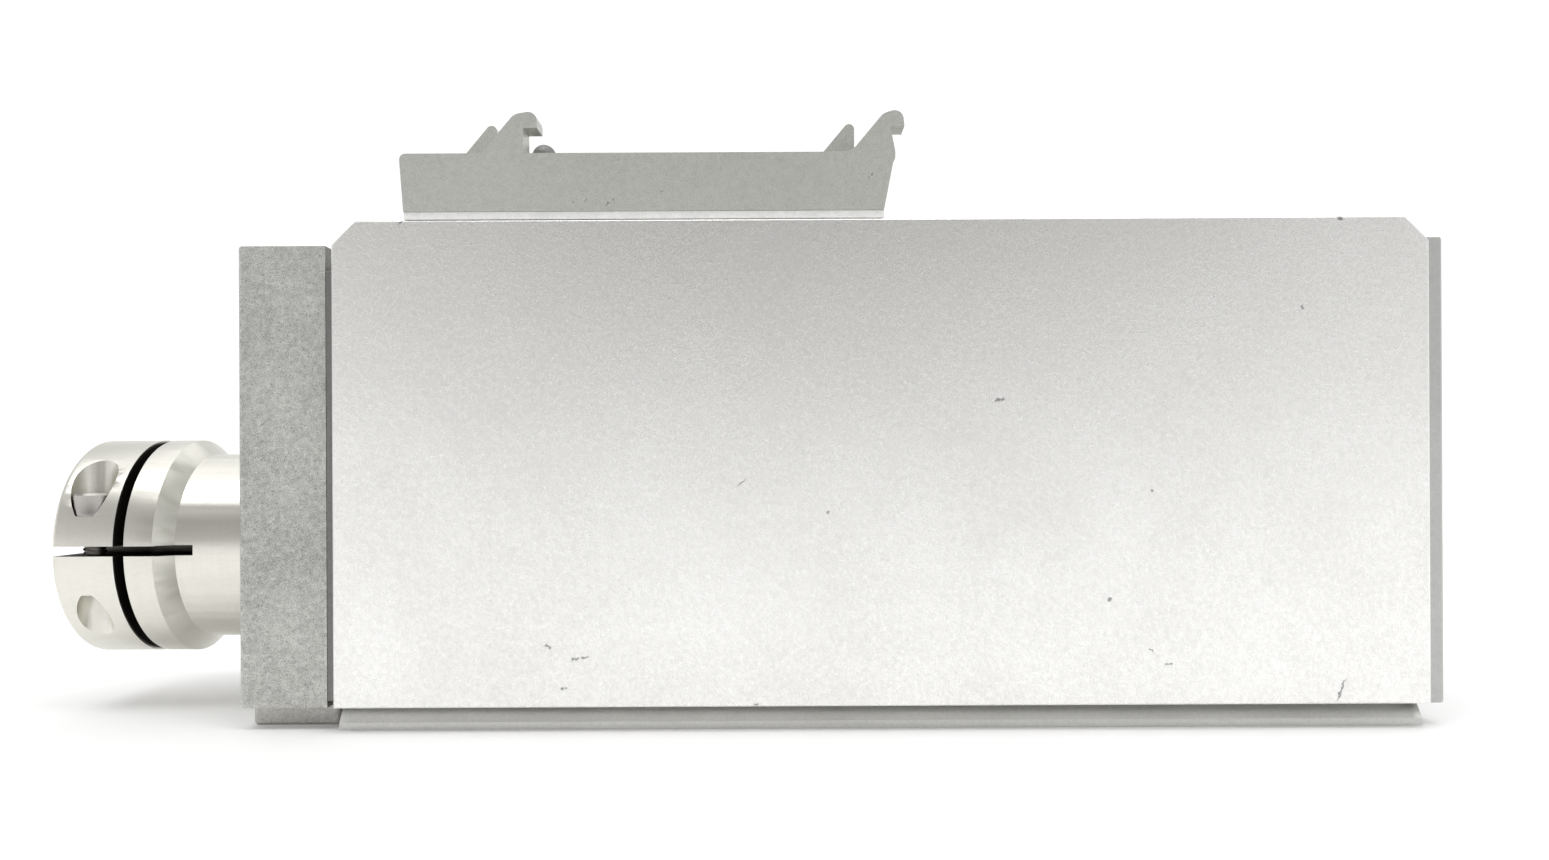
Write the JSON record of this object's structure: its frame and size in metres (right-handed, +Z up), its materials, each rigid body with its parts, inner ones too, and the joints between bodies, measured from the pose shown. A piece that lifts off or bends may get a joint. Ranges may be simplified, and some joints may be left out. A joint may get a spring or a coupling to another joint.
{
  "type": "camera slider",
  "caption": "Enclosed ball screw slide for a camera: blasted aluminium housing, hooked carriage plate on top and a clamp coupling hub for a motor.",
  "frame": {"origin": "centre of the base underside, midway between the ends of the side covers", "axes": "+X along the ball screw from the coupling hub towards the idle end, -Y the front side cover, +Z up"},
  "size_m": [0.2395, 0.066, 0.1026],
  "materials": {
    "blasted_anodised": "fine bead-blasted, clear anodised",
    "coarse_blasted_anodised": "coarse blasted, clear anodised, greyer",
    "machined_aluminium": "fine milled",
    "turned_aluminium": "fine turned, satin",
    "ground_steel": "ground",
    "bearing_steel": "polished",
    "screw_steel": "plain stainless",
    "spring_steel": "blackened",
    "black_rubber": "matte",
    "black_plastic": "moulded",
    "white_plastic": "smooth low-friction polymer"
  },
  "bodies": {
    "housing": {"base_plate": "blasted_anodised", "front_side_cover": "blasted_anodised", "rear_side_cover": "blasted_anodised", "cover_studs": "screw_steel", "cover_nuts": "screw_steel", "front_rail_beam": "machined_aluminium", "rear_rail_beam": "machined_aluminium", "beam_screws": "screw_steel", "front_guide_rail": "ground_steel", "rear_guide_rail": "ground_steel", "rail_screws": "screw_steel", "drive_bearing_block": "machined_aluminium", "idle_bearing_block": "machined_aluminium", "bearing_block_screws": "screw_steel", "drive_end_plate": "coarse_blasted_anodised", "drive_end_plate_screws": "screw_steel", "drive_end_foot": "coarse_blasted_anodised", "foot_screws": "screw_steel", "idle_end_cap": "blasted_anodised", "idle_cap_screws": "screw_steel", "bearing_retainer": "ground_steel", "retainer_screws": "screw_steel", "drive_bearing_outer_rings": "bearing_steel", "idle_bearing_outer_ring": "bearing_steel", "shaft_seal": "black_rubber", "drive_end_bumpers": "black_rubber", "idle_end_bumpers": "black_rubber", "top_cover": "blasted_anodised", "top_cover_screws": "screw_steel"},
    "drive_screw": {"ball_screw": "ground_steel", "coupling_hub": "turned_aluminium", "reducing_sleeve": "spring_steel", "clamp_screw": "screw_steel", "hub_bolt": "screw_steel", "lock_nut": "ground_steel", "drive_bearing_inner_rings": "bearing_steel", "drive_bearing_balls": "bearing_steel", "idle_bearing_inner_ring": "bearing_steel", "idle_bearing_balls": "bearing_steel", "circlip": "spring_steel"},
    "carriage": {"carriage_plate": "coarse_blasted_anodised", "carriage_screws": "screw_steel", "locating_pins": "screw_steel", "front_glide_strip": "white_plastic", "rear_glide_strip": "white_plastic", "front_riser": "machined_aluminium", "rear_riser": "machined_aluminium", "riser_screws": "screw_steel", "saddle": "machined_aluminium", "runner_screws": "screw_steel", "nut_screws": "screw_steel", "front_runner_block": "ground_steel", "rear_runner_block": "ground_steel", "runner_end_caps": "black_plastic", "ball_nut": "ground_steel", "nut_wipers": "black_plastic"}
  },
  "joints": [
    {"name": "carriage_slide", "type": "slide", "parent": "housing", "child": "carriage", "axis": [1, 0, 0], "range_m": [-0.0078, 0.0818]},
    {"name": "screw_turn", "type": "hinge", "parent": "housing", "child": "drive_screw", "pos_m": [0, 0, 0.0295], "axis": [-1, 0, 0], "range_deg": [-565, 5893]}
  ],
  "couplings": [
    {"joint": "screw_turn", "follows": "carriage_slide", "rad_per_m": 1256.6}
  ]
}
